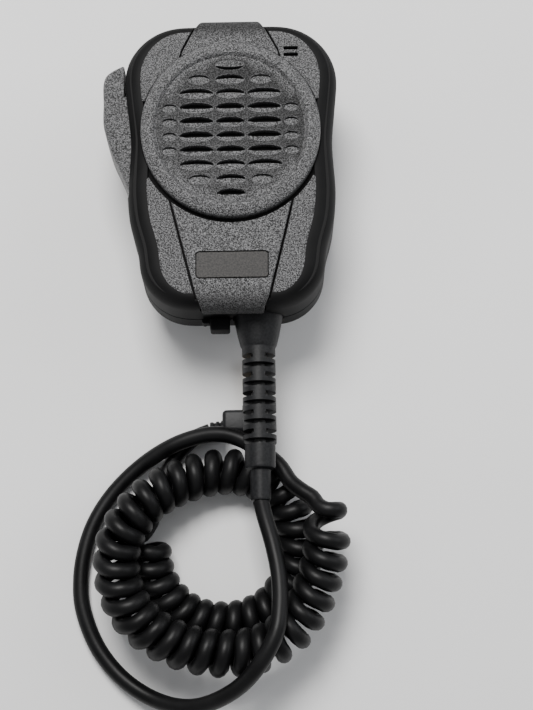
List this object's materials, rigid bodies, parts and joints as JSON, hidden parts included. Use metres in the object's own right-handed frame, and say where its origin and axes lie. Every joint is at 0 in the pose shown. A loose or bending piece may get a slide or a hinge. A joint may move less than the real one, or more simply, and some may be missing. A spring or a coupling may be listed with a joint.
{
  "type": "hand microphone",
  "caption": "Radio hand microphone with a round slotted speaker grille, side talk paddle, swivelling belt clip, slotted cable boot, and a curly cord wound in a ring that ends in a jack plug.",
  "frame": {"origin": "where the clip's swivel axis meets the surface that the clip's flat arm rests on, at the middle of the housing's width and length", "axes": "+Z out of the face, +Y towards the top end, +X to the right seen from the front"},
  "size_m": [0.0788, 0.1951, 0.0401],
  "materials": {
    "shell_plastic": "dark charcoal ABS, spark-eroded texture",
    "frame_rubber": "soft black over-moulded rubber",
    "label_metal": "dark anodised plate, blank",
    "cord_pvc": "glossy black polyurethane jacket",
    "boot_rubber": "charcoal moulded rubber",
    "clip_plastic": "black nylon",
    "spring_steel": "bright zinc plated",
    "magnet_ferrite": "ferrite",
    "cone_paper": "black treated paper",
    "cloth": "black acoustic cloth",
    "copper_wire": "enamelled copper",
    "board_green": "solder mask",
    "wire_red": "wire insulation",
    "connector_white": "nylon",
    "switch_grey": "moulded switch",
    "capsule_can": "bright can",
    "plug_gold": "gold plated"
  },
  "bodies": {
    "housing": {"front_shell": "shell_plastic", "rear_shell": "shell_plastic", "housing_seal": "frame_rubber", "housing_screws": "spring_steel", "bumper_left": "frame_rubber", "bumper_right": "frame_rubber", "spine_panel": "shell_plastic", "speaker_grille": "shell_plastic", "label_plate": "label_metal", "dust_cloth": "cloth", "speaker_gasket": "cloth", "speaker_basket": "spring_steel", "speaker_screws": "spring_steel", "top_plate": "spring_steel", "speaker_magnet": "magnet_ferrite", "magnet_yoke": "spring_steel", "speaker_leads": "wire_red", "mic_capsule": "capsule_can", "mic_holder": "frame_rubber", "mic_mesh": "cloth", "circuit_board": "board_green", "board_screws": "spring_steel", "paddle_pin": "spring_steel", "paddle_membrane": "frame_rubber", "talk_switch": "switch_grey", "earphone_socket": "switch_grey", "cable_boot": "boot_rubber", "cable_core": "cord_pvc", "cable_clamp": "spring_steel", "clamp_screws": "spring_steel", "inner_wires": "wire_red", "wire_connector": "connector_white", "swivel_screw": "spring_steel", "swivel_washer": "spring_steel", "cord_lead": "cord_pvc", "cord_coil_outer": "cord_pvc", "cord_coil_inner": "cord_pvc", "cord_tail": "cord_pvc", "plug_body": "boot_rubber", "plug_shaft": "plug_gold", "plug_bands": "switch_grey"},
    "paddle": {"talk_paddle": "shell_plastic"},
    "plunger": {"switch_plunger": "switch_grey"},
    "cone": {"speaker_cone": "cone_paper", "voice_coil": "copper_wire"},
    "cap": {"socket_cap": "frame_rubber"},
    "clip_swivel": {"clip_base": "clip_plastic", "clip_pin": "spring_steel", "clip_spring": "spring_steel"},
    "clip_jaw": {"clip_arm": "clip_plastic"}
  },
  "joints": [
    {"name": "talk_press", "type": "hinge", "parent": "housing", "child": "paddle", "pos_m": [-0.0265, -0.0055, 0.025], "axis": [0, 0, -1], "range_deg": [0, 2.5], "stiffness_Nm_per_rad": 1.6, "springref_deg": -2.29},
    {"name": "plunger_push", "type": "slide", "parent": "housing", "child": "plunger", "axis": [1, 0, 0], "range_m": [0, 0.0006]},
    {"name": "cone_stroke", "type": "slide", "parent": "housing", "child": "cone", "axis": [0, 0, 1], "range_m": [-0.0004, 0.0004], "stiffness_N_per_m": 600},
    {"name": "cap_swing", "type": "hinge", "parent": "housing", "child": "cap", "pos_m": [-0.0082, -0.0429, 0.022], "axis": [0, 0, -1], "range_deg": [0, 110]},
    {"name": "clip_turn", "type": "hinge", "parent": "housing", "child": "clip_swivel", "pos_m": [0, 0, 0.009], "axis": [0, 0, 1], "continuous": true},
    {"name": "clip_open", "type": "hinge", "parent": "clip_swivel", "child": "clip_jaw", "pos_m": [0, 0.014, 0.0059], "axis": [1, 0, 0], "range_deg": [0, 25], "stiffness_Nm_per_rad": 0.25, "springref_deg": -34.38, "deforming": ["clip_spring"]}
  ],
  "couplings": [
    {"joint": "plunger_push", "follows": "talk_press", "m_per_rad": 0.0135}
  ]
}
